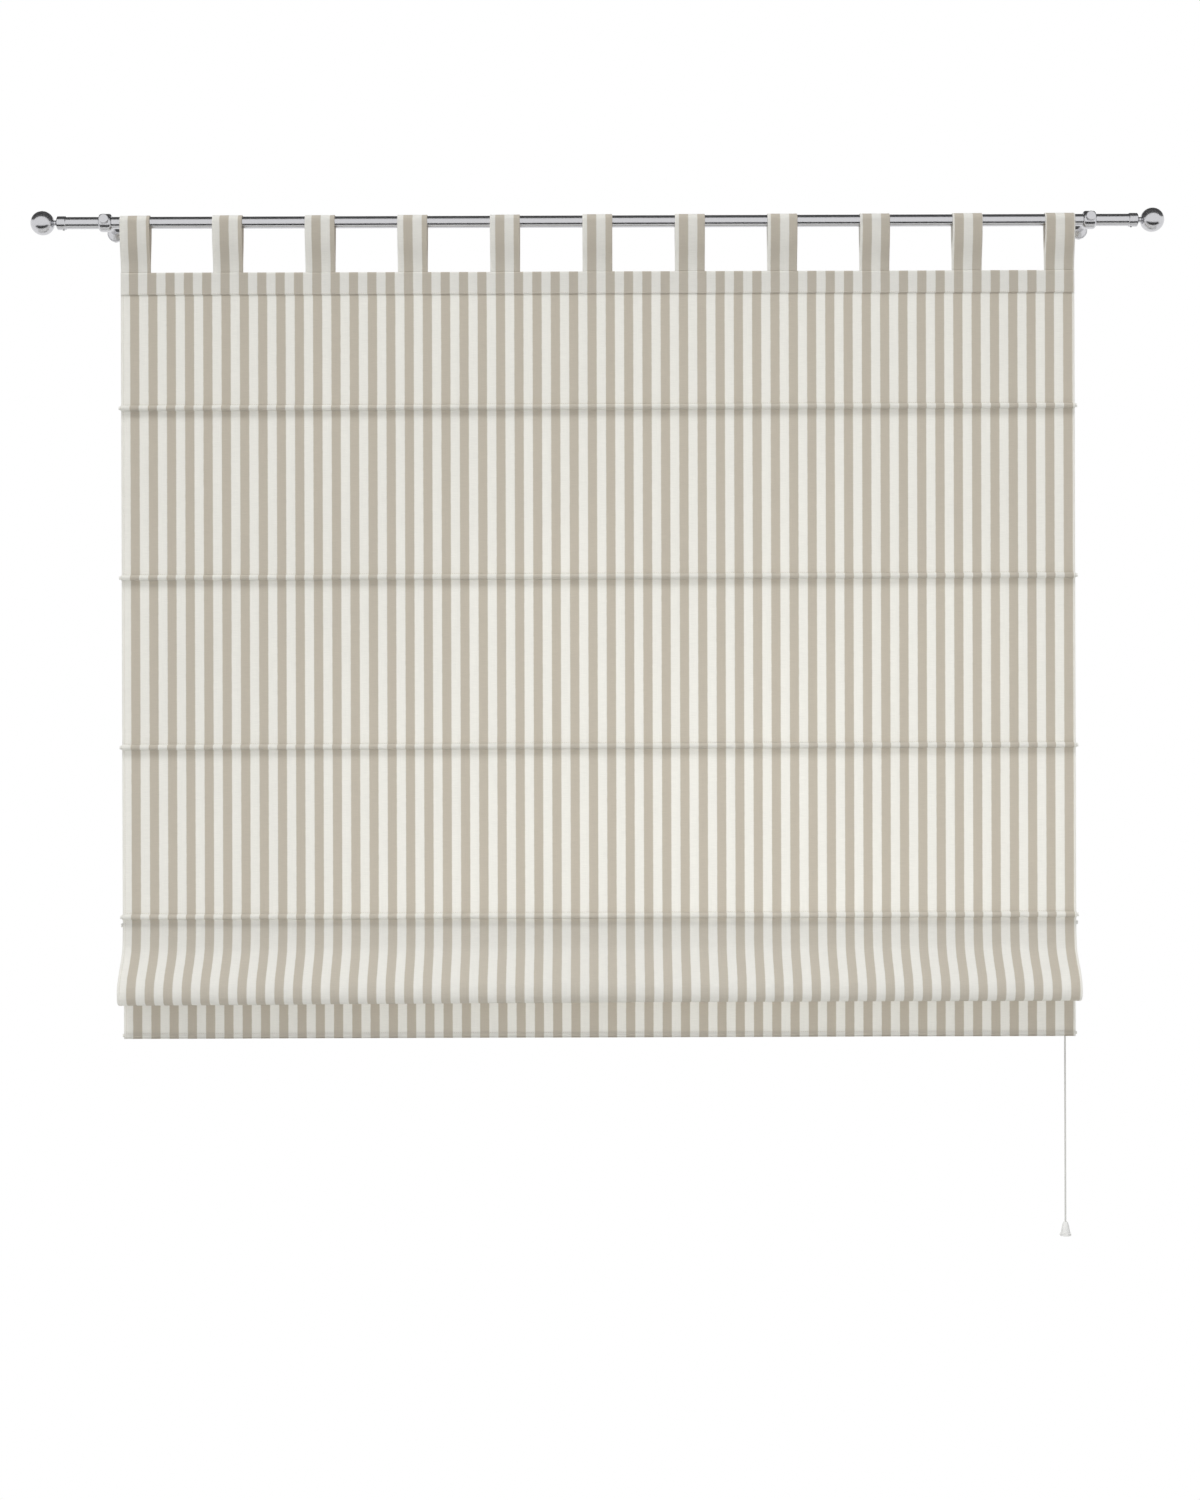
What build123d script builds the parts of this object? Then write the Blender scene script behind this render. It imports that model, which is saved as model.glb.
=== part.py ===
from build123d import *
import math
import os

# A tab-top roman blind on a curtain rod. Sizes are in millimetres.
# The wall is the plane y = 0, the room is towards -Y, and +X runs to the right along the rod.
# The rod's axis is at z = 0. The blind hangs with its lowest batten pulled up under the fourth.

# Overall width, rod, finials and the brackets' place on the wall
blind_width = 1600
rod_beyond_blind = 100
bracket_from_rod_end = 75
rod_to_wall = 88
rod_radius = 10
rod_wall = 1.2
ball_radius = 20
ball_beyond_rod = 31
neck_radius = 4.6
collar_wall = 1.15
collar_length = 15
collar_overlap = 9
collar_bevel = 1
collar_clearance = 0.15
finial_screw_radius = 1.5
finial_screw_length = 2.6
finial_screw_hole = 6

# Bracket
ring_wall = 5
ring_width = 22
ring_clearance = 0.2
ring_rounding = 5
boss_radius = 6
arm_radius = 4.5
foot_radius = 14
foot_depth = 8
foot_flare = 9
foot_flare_radius = 12
foot_rounding = 1.5
plate_radius = 11
plate_thickness = 5
plate_clearance = 0.2
wall_hole_radius = 2.6
foot_screw_radius = 1.5
foot_screw_hole = 8
foot_screw_sunk = 0.4
knob_radius = 8.2
knob_thickness = 5
knob_ribs = 14
knob_rib_depth = 0.5
knob_rounding = 1.5
knob_shank_radius = 2
knob_tilt = 10
knob_standoff = 1.2
shank_hole_depth = 14

# Cloth and its pockets; the loop's corners and bends are shares of its depth
cloth_thickness = 0.8
seat_gap = 0.3
batten_radius = 2.5
pocket_clearance = 0.2
heading_top = -83.5
heading_height = 38
heading_bend = 1.5
cloth_top_gap = 1.5
first_batten_below_heading = 190
batten_pitch = 284.5
visible_battens = 4
loop_depth = 141
loop_out = 50
loop_front_tuck = 10
loop_underside = 28
loop_straight_share = 0.3
loop_shoulder_share = 0.8
loop_back_share = 0.43
loop_bend_shares = [0.42, 0.17, 0.1, 0.11, 0.28]
hem_drop = 186

# Tabs
tab_count = 11
tab_width = 50
tab_thickness = 1.6
tab_leg_gap = 0.4
tab_straight = 4
tab_crook_height = -8
tab_foot_bend = 18
tab_crook_bend = 40

# Head lath
lath_thickness = 4
lath_height = 30
lath_end_gap = 8
lath_top_gap = 4
lath_screw_depth = 3
lath_hole_depth = 3.5

# Battens, rings and cords
batten_overhang = 2.5
cap_radius = 3.2
cap_length = 3
cap_wall = 1
cap_clearance = 0.05
ring_columns = 4
column_inset = 110
eye_bend_radius = 5
eye_wire_radius = 1.25
cord_from_cloth = 12
stem_radius = 1
stem_foot_radius = 2.6
stem_foot_thickness = 0.8
tie_bend_radius = 2.2
tie_below_ring = 4.5
tie_wire_bend = 1.5
tie_foot_radius = 1.6
knot_radius = 2
lowest_batten_below = 14
lowest_batten_back = 4.5
lift_cord_radius = 0.6
bundle_offset = 0.7
guide_run_below_top = 16.5
guide_eye_radius = 4.5
guide_wire_radius = 1
guide_after_column = 7
guide_turn_radius = 4
guide_run_bend = 20

# Cord lock, pull cord and bell
pull_cord_inset = 15
pull_cord_from_cloth = 23.5
pull_cord_radius = 1.4
guide_bar_radius = 4
guide_bar_end_radius = 2
cord_past_guide_bar = 2
guide_bar_gap = 0.1
lock_left_of_cord = 21
lock_right_of_cord = 11
lock_below_heading_top = 4.5
lock_height = 36
lock_cavity_depth = 12
lock_back_wall = 2
lock_roof = 2
lock_rounding = 2
lock_side_room = 3
roller_radius = 3.5
roller_serrations = 12
serration_depth = 0.4
roller_pin_radius = 1.2
roller_below_lock_top = 29
roller_travel = 5
roller_slot_angle = 37
roller_slot_depth = 3
running_gap = 0.3
pin_clearance = 0.1
lock_screw_radius = 1.4
lock_screw_head_radius = 2.8
lock_screw_head_height = 2
lock_screw_seat = 6
lock_screw_inset = 6
lock_screw_drop = 4.2
bell_top = -1685.5
bell_height = 23.5
bell_neck_radius = 3.2
bell_shoulder_radius = 5.4
bell_shoulder_drop = 6
bell_flank_radius = 7.2
bell_flank_drop = 15
bell_mouth_radius = 8.4
bell_rim_radius = 1.3
bell_beads = 18
bell_bead_radius = 1.25
bell_bead_sunk = 0.3
bell_bore_radius = 4
bell_bore_depth = 10
bell_knot_radius = 3.7
bell_cord_clearance = 0.15

# How far a cutting shape reaches past the face it opens, and the least straight run between two bends
cut_past = 1
short_run = 0.01

# Places that follow from the sizes above
rod_length = blind_width + 2 * rod_beyond_blind
collar_radius = rod_radius + collar_clearance + collar_wall
ring_radius = rod_radius + ring_wall
bracket_spacing = rod_length - 2 * bracket_from_rod_end
column_pitch = (blind_width - 2 * column_inset) / (ring_columns - 1)
cloth_y = -rod_to_wall
half_cloth = cloth_thickness / 2
pocket_radius = batten_radius + pocket_clearance + half_cloth
heading_bottom = heading_top - heading_height
lath_front = half_cloth + seat_gap
lath_back = lath_front + lath_thickness
band_front = -cloth_thickness - seat_gap
band_back = lath_back + seat_gap + half_cloth
band_outer_back = band_back + half_cloth
band_middle = (band_front + band_back) / 2
first_batten_z = heading_bottom - first_batten_below_heading
fourth_batten_z = first_batten_z - batten_pitch * (visible_battens - 1)
fifth_batten_z = fourth_batten_z - lowest_batten_below
hem_panel_y = lowest_batten_back + pocket_radius
hem_bar_z = fifth_batten_z - hem_drop
guide_z = heading_top - guide_run_below_top
tie_z = fourth_batten_z - tie_below_ring
pull_cord_x = blind_width / 2 - pull_cord_inset
lock_left = pull_cord_x - lock_left_of_cord
lock_right = pull_cord_x + lock_right_of_cord
lock_top = heading_top - lock_below_heading_top
lock_bottom = lock_top - lock_height
roller_height = lock_top - roller_below_lock_top
guide_bar_x = pull_cord_x - guide_bar_radius - guide_bar_gap - lift_cord_radius - bundle_offset
guide_bar_z = guide_z - (pull_cord_x - guide_bar_x)
lock_cavity_front = pull_cord_from_cloth - lock_cavity_depth / 2
lock_cavity_back = pull_cord_from_cloth + lock_cavity_depth / 2
lock_back = lock_cavity_back + lock_back_wall
roller_x = pull_cord_x - pull_cord_radius - running_gap - roller_radius
cloth_back = half_cloth + seat_gap


def batten_z(number):
    """Height of one of the battens that show as ridges, counted from the top."""
    return first_batten_z - batten_pitch * (number - 1)


def column_x(number):
    """Place across the blind of one lift cord, counted from the left."""
    return column_pitch * (number - (ring_columns + 1) / 2)


def bundle_place(number):
    """Offset of a lift cord in the square bundle of four: (across the run, up)."""
    side = -1 if number % 2 else 1
    level = 1 if number <= 2 else -1
    return side * bundle_offset, level * bundle_offset


def bar(start, end, radius):
    """A round bar from one point to another."""
    start, end = Vector(*start), Vector(*end)
    along = end - start
    place = Plane(origin=start, z_dir=along)
    return place * Cylinder(radius, along.length, align=(Align.CENTER, Align.CENTER, Align.MIN))


def across(section, width, middle=0):
    """Pulls a (y, z) section of the hanging cloth out to a width along X."""
    start = Plane.YZ.offset(middle - width / 2)
    return Pos(0, cloth_y, 0) * extrude(start * section, amount=width)


def strip(points, radii, thickness):
    """Section of a sheet that follows a line of straight runs and round bends."""
    return trace(FilletPolyline(*points, radius=radii), line_width=thickness)


def pocket_section(y, z):
    """Section of the round pocket that holds a batten."""
    outer = Circle(pocket_radius + half_cloth)
    inner = Circle(pocket_radius - half_cloth)
    return Pos(y, z) * (outer - inner)


def curtain_rod():
    outer = Cylinder(rod_radius, rod_length)
    bore = Cylinder(rod_radius - rod_wall, rod_length)
    return Pos(0, cloth_y, 0) * Rot(0, 90, 0) * (outer - bore)


def finial_screw_place():
    """Middle of the screw in the right finial's collar, along X."""
    return rod_length / 2 - collar_overlap / 2


def finial(side):
    """A ball on a waisted neck, with a collar that slips over the rod's end."""
    sleeve_start = rod_length / 2 - collar_overlap
    collar_end = sleeve_start + collar_length
    ball_middle = rod_length / 2 + ball_beyond_rod
    ball_start = ball_middle - math.sqrt(ball_radius**2 - neck_radius**2)
    flare = (ball_start - collar_end) / 2
    edge = Line((sleeve_start, 0), (sleeve_start, collar_radius - collar_bevel))
    lip = Line(edge @ 1, (sleeve_start + collar_bevel, collar_radius))
    barrel = Line(lip @ 1, (collar_end - collar_bevel, collar_radius))
    shoulder = Line(barrel @ 1, (collar_end, collar_radius - collar_bevel))
    waist = ThreePointArc(shoulder @ 1, (collar_end + flare, neck_radius), (ball_start, neck_radius))
    ball = ThreePointArc(waist @ 1, (ball_middle, ball_radius), (ball_middle + ball_radius, 0))
    axis = Line(ball @ 1, edge @ 0)
    body = revolve(make_face(edge + lip + barrel + shoulder + waist + ball + axis), Axis.X)
    socket = Pos(sleeve_start, 0, 0) * Rot(0, 90, 0) * Cylinder(
        rod_radius + collar_clearance, collar_overlap, align=(Align.CENTER, Align.CENTER, Align.MIN)
    )
    screw_hole = Pos(finial_screw_place(), 0, -collar_radius) * Cylinder(finial_screw_radius, finial_screw_hole)
    piece = Pos(0, cloth_y, 0) * (body - socket - screw_hole)
    return piece if side > 0 else mirror(piece, Plane.YZ)


def finial_screws():
    """Two headless screws that hold the finials on the rod."""
    radius = finial_screw_radius - pin_clearance
    screws = []
    for side in (-1, 1):
        x = side * finial_screw_place()
        tip = (x, cloth_y, -rod_radius)
        end = (x, cloth_y, -rod_radius - finial_screw_length)
        screws.append(bar(tip, end, radius))
    return screws


def wall_plate(side):
    """The round plate that the installer screws to the wall; the bracket's foot slips over it."""
    x = side * bracket_spacing / 2
    plate = bar((x, 0, 0), (x, -plate_thickness, 0), plate_radius)
    hole = bar((x, cut_past, 0), (x, -plate_thickness - cut_past, 0), wall_hole_radius)
    return plate - hole


def knob_frame(side):
    """Frame at the rod's axis with Z along the clamp knob's shank, forwards and up."""
    tilt = math.radians(knob_tilt)
    outwards = (0, -math.cos(tilt), math.sin(tilt))
    return Plane(origin=(side * bracket_spacing / 2, cloth_y, 0), x_dir=(1, 0, 0), z_dir=outwards)


def bracket(side):
    """A ring round the rod, an arm and a foot cup, cast in one piece."""
    x = side * bracket_spacing / 2
    along_rod = Pos(x, cloth_y, 0) * Rot(0, 90, 0)
    ring = Cylinder(ring_radius, ring_width)
    ring = along_rod * fillet(ring.edges().filter_by(GeomType.CIRCLE), ring_rounding)
    boss = Pos(0, 0, ring_radius / 2) * Cylinder(boss_radius, ring_radius + knob_standoff)
    arm = bar((x, cloth_y + rod_radius + cut_past, 0), (x, -foot_depth + cut_past, 0), arm_radius)
    flare = Plane(origin=(x, -foot_depth, 0), z_dir=(0, -1, 0)) * Cone(
        foot_flare_radius, arm_radius, foot_flare, align=(Align.CENTER, Align.CENTER, Align.MIN)
    )
    cup = bar((x, 0, 0), (x, -foot_depth, 0), foot_radius)
    cup = fillet(cup.edges().filter_by(GeomType.CIRCLE).sort_by(Axis.Y)[0], foot_rounding)
    recess_end = -plate_thickness - plate_clearance
    recess = bar((x, cut_past, 0), (x, recess_end, 0), plate_radius + plate_clearance)
    rod_bore = along_rod * Cylinder(rod_radius + ring_clearance, ring_width + cut_past)
    shank_hole = Pos(0, 0, ring_radius) * Cylinder(knob_shank_radius + pin_clearance, shank_hole_depth)
    screw_hole = Pos(x, -plate_thickness / 2, -(plate_radius + foot_radius) / 2) * Cylinder(
        foot_screw_radius + pin_clearance, foot_screw_hole
    )
    body = ring + knob_frame(side) * boss + arm + flare + cup
    return body - recess - rod_bore - knob_frame(side) * shank_hole - screw_hole


def clamp_knob(side):
    """A thumb screw with a ribbed rim that pins the rod in its ring."""
    inner_end = rod_radius + seat_gap
    head_start = ring_radius + knob_standoff
    shank = Pos(0, 0, inner_end) * Cylinder(
        knob_shank_radius, head_start - inner_end, align=(Align.CENTER, Align.CENTER, Align.MIN)
    )
    head = Pos(0, 0, head_start) * Cylinder(
        knob_radius, knob_thickness, align=(Align.CENTER, Align.CENTER, Align.MIN)
    )
    head = fillet(head.edges().filter_by(GeomType.CIRCLE).sort_by(Axis.Z)[-1], knob_rounding)
    groove = Pos(0, 0, head_start) * Cylinder(
        knob_rib_depth, knob_thickness, align=(Align.CENTER, Align.CENTER, Align.MIN)
    )
    grooves = [place * groove for place in PolarLocations(knob_radius, knob_ribs)]
    return knob_frame(side) * (shank + head - grooves)


def foot_screws():
    """Two headless screws that lock the brackets' feet on their wall plates."""
    top = -plate_radius - pin_clearance
    screws = []
    for side in (-1, 1):
        x = side * bracket_spacing / 2
        y = -plate_thickness / 2
        screws.append(bar((x, y, top), (x, y, -foot_radius + foot_screw_sunk), foot_screw_radius))
    return screws


def tab(number):
    """A sewn strap that loops over the rod and ends on top of the heading."""
    reach = rod_radius + seat_gap + tab_thickness / 2
    corner = reach - short_run
    leg = (tab_thickness + tab_leg_gap) / 2
    front, back = band_middle - leg, band_middle + leg
    outline = strip(
        [
            (front, heading_top),
            (front, heading_top + tab_straight),
            (-reach, tab_crook_height),
            (-reach, reach),
            (reach, reach),
            (reach, tab_crook_height),
            (back, heading_top + tab_straight),
            (back, heading_top),
        ],
        [tab_foot_bend, tab_crook_bend, corner, corner, tab_crook_bend, tab_foot_bend],
        tab_thickness,
    )
    tab_pitch = (blind_width - tab_width) / (tab_count - 1)
    return across(outline, tab_width, -blind_width / 2 + tab_width / 2 + tab_pitch * number)


def stem_holes(from_y, to_y, clearance):
    """Holes for everything that is screwed into the head lath: guides and lock screws."""
    holes = [
        bar((x, cloth_y + from_y, guide_z), (x, cloth_y + to_y, guide_z), stem_radius + clearance)
        for x in guide_places()
    ]
    holes += [
        bar((x, cloth_y + from_y, z), (x, cloth_y + to_y, z), lock_screw_radius + clearance)
        for x, z in lock_screw_places()
    ]
    return holes


def heading_band():
    """A folded strip sewn over the cloth's top edge and the lath."""
    outline = strip(
        [
            (band_front, heading_bottom),
            (band_front, heading_top - half_cloth),
            (band_back, heading_top - half_cloth),
            (band_back, heading_bottom),
        ],
        [heading_bend, heading_bend],
        cloth_thickness,
    )
    return across(outline, blind_width) - stem_holes(lath_back, band_outer_back + cut_past, seat_gap)


def head_lath():
    """The flat lath that keeps the heading straight."""
    length = blind_width - 2 * lath_end_gap
    z = heading_top - lath_top_gap - lath_height / 2
    lath = Pos(0, cloth_y + (lath_front + lath_back) / 2, z) * Box(length, lath_thickness, lath_height)
    return lath - stem_holes(lath_back - lath_hole_depth, lath_back + cut_past, pin_clearance)


def shade_cloth():
    """The blind's one long cloth: flat panels, round pockets, the raised loop and the hem."""
    top = heading_top - cloth_thickness - cloth_top_gap
    z4, z5 = fourth_batten_z, fifth_batten_z
    front_leg = lowest_batten_back - pocket_radius
    crown = z5 + pocket_radius
    crown_bend = pocket_radius - short_run
    underside_front = -loop_out + loop_front_tuck
    loop_bends = [share * loop_depth for share in loop_bend_shares]
    outline = strip(
        [
            (0, top),
            (0, z4 - loop_straight_share * loop_depth),
            (-loop_out, z4 - loop_shoulder_share * loop_depth),
            (underside_front, z4 - loop_depth),
            (underside_front + loop_underside, z4 - loop_depth),
            (front_leg, z4 - loop_back_share * loop_depth),
            (front_leg, crown),
            (hem_panel_y, crown),
            (hem_panel_y, hem_bar_z),
        ],
        [*loop_bends, crown_bend, crown_bend],
        cloth_thickness,
    )
    pockets = [(-pocket_radius, batten_z(number)) for number in range(1, visible_battens + 1)]
    pockets += [(lowest_batten_back, z5), (hem_panel_y + pocket_radius, hem_bar_z)]
    for y, z in pockets:
        outline += pocket_section(y, z)
    for y, z in pockets:
        outline -= Pos(y, z) * Circle(pocket_radius - half_cloth)
    return across(outline, blind_width)


def batten(y, z):
    """A round glass-fibre rod that runs the whole width and a little past it."""
    length = blind_width + 2 * batten_overhang
    return Pos(0, cloth_y + y, z) * Rot(0, 90, 0) * Cylinder(batten_radius, length)


def batten_caps(y, z):
    """The two end caps of a batten."""
    caps = []
    for side in (-1, 1):
        outer_end = side * (blind_width / 2 + batten_overhang + cap_wall)
        rod_end = side * (blind_width / 2 + batten_overhang + cap_clearance)
        inner_end = outer_end - side * cap_length
        cup = bar((inner_end, cloth_y + y, z), (outer_end, cloth_y + y, z), cap_radius)
        mouth = inner_end - side * cut_past
        hole = bar((mouth, cloth_y + y, z), (rod_end, cloth_y + y, z), batten_radius + cap_clearance)
        caps.append(cup - hole)
    return caps


def cord_rings(z):
    """Rings at the back of a batten, each on a stem with a sewn foot."""
    front = cloth_y + cloth_back
    middle = cloth_y + cord_from_cloth
    rings = []
    for number in range(1, ring_columns + 1):
        x = column_x(number)
        eye = Pos(x, middle, z) * Torus(eye_bend_radius, eye_wire_radius)
        stem = bar((x, front, z), (x, middle - eye_bend_radius, z), stem_radius)
        foot = bar((x, front, z), (x, front + stem_foot_thickness, z), stem_foot_radius)
        rings.append(eye + stem + foot)
    return rings


def tie_eyelets():
    """Small eyelets on the lowest batten, where the lift cords end: a bent wire with a sewn foot."""
    stem_y = cloth_y + lowest_batten_back
    foot_z = fifth_batten_z + pocket_radius + half_cloth + seat_gap
    eyelets = []
    for number in range(1, ring_columns + 1):
        x = column_x(number)
        middle = cloth_y + cord_from_cloth + bundle_place(number)[0]
        eye = Pos(x, middle, tie_z) * Torus(tie_bend_radius, eye_wire_radius)
        route = [(x, middle - tie_bend_radius, tie_z), (x, stem_y, tie_z), (x, stem_y, foot_z)]
        path = FilletPolyline(*route, radius=tie_wire_bend)
        wire = sweep(Plane(origin=path @ 0, z_dir=path % 0) * Circle(stem_radius), path=path)
        foot = bar((x, stem_y, foot_z), (x, stem_y, foot_z + stem_foot_thickness), tie_foot_radius)
        eyelets.append(eye + wire + foot)
    return eyelets


def tie_knots():
    """The knots under the eyelets."""
    z = tie_z - eye_wire_radius - knot_radius
    knots = []
    for number in range(1, ring_columns + 1):
        y = cloth_y + cord_from_cloth + bundle_place(number)[0]
        knots.append(Pos(column_x(number), y, z) * Sphere(knot_radius))
    return knots


def guide_places():
    """Where the guide eyes stand: just to the right of each column of rings."""
    return [column_x(number) + guide_after_column for number in range(1, ring_columns + 1)]


def cord_guides():
    """Screw eyes in the head lath that turn the lift cords towards the lock."""
    middle = cloth_y + cord_from_cloth
    guides = []
    for x in guide_places():
        eye = Pos(x, middle, guide_z) * Rot(0, 90, 0) * Torus(guide_eye_radius, guide_wire_radius)
        tip = cloth_y + lath_back - lath_screw_depth
        stem = bar((x, tip, guide_z), (x, middle - guide_eye_radius, guide_z), stem_radius)
        guides.append(eye + stem)
    return guides


def lift_cord(number):
    """A cord tied to the lowest batten, up through its rings, along the guides and over the lock's bar."""
    side, level = bundle_place(number)
    x = column_x(number)
    y = cloth_y + cord_from_cloth + side
    z = guide_z + level
    bar_turn = pull_cord_x - guide_bar_x + level
    lock_y = cloth_y + pull_cord_from_cloth + side
    route = [
        (x, y, tie_z - eye_wire_radius),
        (x, y, z),
        (column_x(ring_columns) + 2 * guide_after_column, y, z),
        (lock_left, lock_y, z),
        (pull_cord_x + level, lock_y, z),
        (pull_cord_x + level, lock_y, guide_bar_z - cord_past_guide_bar),
    ]
    path = FilletPolyline(*route, radius=[guide_turn_radius, guide_run_bend, guide_run_bend, bar_turn])
    start = Plane(origin=path @ 0, z_dir=path % 0)
    return sweep(start * Circle(lift_cord_radius), path=path)


def lock_screw_places():
    """(x, z) of the two screws that fix the lock to the lath."""
    z = lock_top - lock_screw_drop
    return [(lock_left + lock_screw_inset, z), (lock_right - 2 * lock_screw_inset, z)]


def roller_slot(radius, from_y, to_y):
    """The slanted slot that the jam roller's pin rides in."""
    rise = math.radians(roller_slot_angle)
    along = Vector(-math.cos(rise), 0, math.sin(rise)) * roller_travel
    low = Vector(roller_x, cloth_y + from_y, roller_height)
    depth = to_y - from_y
    through = Vector(0, depth, 0)
    ends = [bar(end, end + through, radius) for end in (low, low + along)]
    middle = low + along / 2 + through / 2
    block = Pos(*middle) * Rot(0, roller_slot_angle, 0) * Box(roller_travel, depth, 2 * radius)
    return ends[0] + ends[1] + block


def lock_housing():
    """The moulded cord lock on the heading's right end, open to the left and below."""
    width, depth, height = lock_right - lock_left, lock_back - band_outer_back, lock_top - lock_bottom
    middle_y = cloth_y + (lock_back + band_outer_back) / 2
    shell = Pos((lock_left + lock_right) / 2, middle_y, (lock_top + lock_bottom) / 2) * Box(width, depth, height)
    shell = fillet(shell.edges().filter_by(Axis.Y), lock_rounding)
    cavity_right = pull_cord_x + pull_cord_radius + lock_side_room
    cavity_top = guide_z + bundle_offset + lift_cord_radius + lock_roof
    cavity_width = cavity_right - lock_left + cut_past
    cavity_height = cavity_top - lock_bottom + cut_past
    cavity_x, cavity_z = cavity_right - cavity_width / 2, cavity_top - cavity_height / 2
    cavity = Box(cavity_width, lock_cavity_depth, cavity_height)
    cavity = Pos(cavity_x, cloth_y + pull_cord_from_cloth, cavity_z) * cavity
    front, back = lock_cavity_front - roller_slot_depth, lock_back + cut_past
    slot = roller_slot(roller_pin_radius + pin_clearance, front, back)
    bar_front, bar_back = (guide_bar_x, cloth_y + front, guide_bar_z), (guide_bar_x, cloth_y + back, guide_bar_z)
    bar_hole = bar(bar_front, bar_back, guide_bar_end_radius)
    body = shell - cavity - slot - bar_hole
    for x, z in lock_screw_places():
        seat = cloth_y + band_outer_back + lock_screw_seat
        body -= bar((x, cloth_y, z), (x, seat + cut_past, z), lock_screw_radius + pin_clearance)
        body -= bar((x, seat, z), (x, cloth_y + back, z), lock_screw_head_radius + pin_clearance)
    return body


def lock_guide_bar():
    """The round bar that the cords turn over, with thinner ends in the housing's walls."""
    front, back = cloth_y + lock_cavity_front, cloth_y + lock_cavity_back
    thick = bar((guide_bar_x, front, guide_bar_z), (guide_bar_x, back, guide_bar_z), guide_bar_radius)
    thin = bar(
        (guide_bar_x, front - roller_slot_depth, guide_bar_z),
        (guide_bar_x, back + lock_back_wall, guide_bar_z),
        guide_bar_end_radius,
    )
    return thick + thin


def lock_screws():
    """The lock's two screws into the head lath."""
    screws = []
    for x, z in lock_screw_places():
        seat = cloth_y + band_outer_back + lock_screw_seat
        shank = bar((x, cloth_y + lath_back - lath_screw_depth, z), (x, seat, z), lock_screw_radius)
        head = bar((x, seat, z), (x, seat + lock_screw_head_height, z), lock_screw_head_radius)
        screws.append(shank + head)
    return screws


def jam_roller():
    """The serrated roller that grips the cords when it drops."""
    front, back = lock_cavity_front + running_gap, lock_cavity_back - running_gap
    roller = bar((0, front, 0), (0, back, 0), roller_radius)
    groove = bar((roller_radius, front, 0), (roller_radius, back, 0), serration_depth)
    step = 360 / roller_serrations
    grooves = [Rot(0, step * turn, 0) * groove for turn in range(roller_serrations)]
    bore = bar((0, front - cut_past, 0), (0, back + cut_past, 0), roller_pin_radius + cap_clearance)
    return Pos(roller_x, cloth_y, roller_height) * (roller - grooves - bore)


def roller_pin():
    """The pin through the roller, which rides in the housing's slots."""
    start = cloth_y + lock_cavity_front - roller_slot_depth + running_gap
    end = cloth_y + lock_back - running_gap
    return bar((roller_x, start, roller_height), (roller_x, end, roller_height), roller_pin_radius)


def pull_cord():
    """The four lift cords laid together, hanging straight from the lock into the bell."""
    x, y = pull_cord_x, cloth_y + pull_cord_from_cloth
    end = bell_top - bell_height + bell_bore_depth
    return bar((x, y, guide_bar_z - cord_past_guide_bar), (x, y, end), pull_cord_radius)


def cord_bell():
    """The turned bell on the pull cord, with a beaded rim and a bore for the knot."""
    rim_z = -bell_height + bell_rim_radius
    bead_z = rim_z + bell_rim_radius + bell_bead_radius - bell_bead_sunk
    side = Spline(
        (bell_neck_radius, 0),
        (bell_shoulder_radius, -bell_shoulder_drop),
        (bell_flank_radius, -bell_flank_drop),
        (bell_mouth_radius, rim_z),
    )
    foot = Line(side @ 1, (bell_mouth_radius, -bell_height))
    floor = Line(foot @ 1, (0, -bell_height))
    axis = Line(floor @ 1, (0, 0))
    top = Line(axis @ 1, side @ 0)
    body = revolve(Plane.XZ * make_face(side + foot + floor + axis + top), Axis.Z)
    rim = Pos(0, 0, rim_z) * Torus(bell_mouth_radius, bell_rim_radius)
    cord_hole = Cylinder(pull_cord_radius + bell_cord_clearance, 3 * bell_height)
    bore = Pos(0, 0, -bell_height) * Cylinder(bell_bore_radius, 2 * bell_bore_depth)
    bead = Pos(0, 0, bead_z) * Sphere(bell_bead_radius)
    beads = [place * bead for place in PolarLocations(bell_mouth_radius - bell_bead_sunk, bell_beads)]
    place = Pos(pull_cord_x, cloth_y + pull_cord_from_cloth, bell_top)
    return place * (body + rim + beads - cord_hole - bore)


def bell_knot():
    """The knot that the bell hangs on."""
    z = bell_top - bell_height + bell_bore_depth - bell_knot_radius
    return Pos(pull_cord_x, cloth_y + pull_cord_from_cloth, z) * Sphere(bell_knot_radius)


def save(name, shape):
    """Writes one piece, or a group of separate like pieces, to its own file."""
    solids = []
    for item in shape if isinstance(shape, list) else [shape]:
        solids += item.solids()
    whole = solids[0] if len(solids) == 1 else Compound(children=solids)
    export_step(whole, f"parts/{name}.step")


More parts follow.
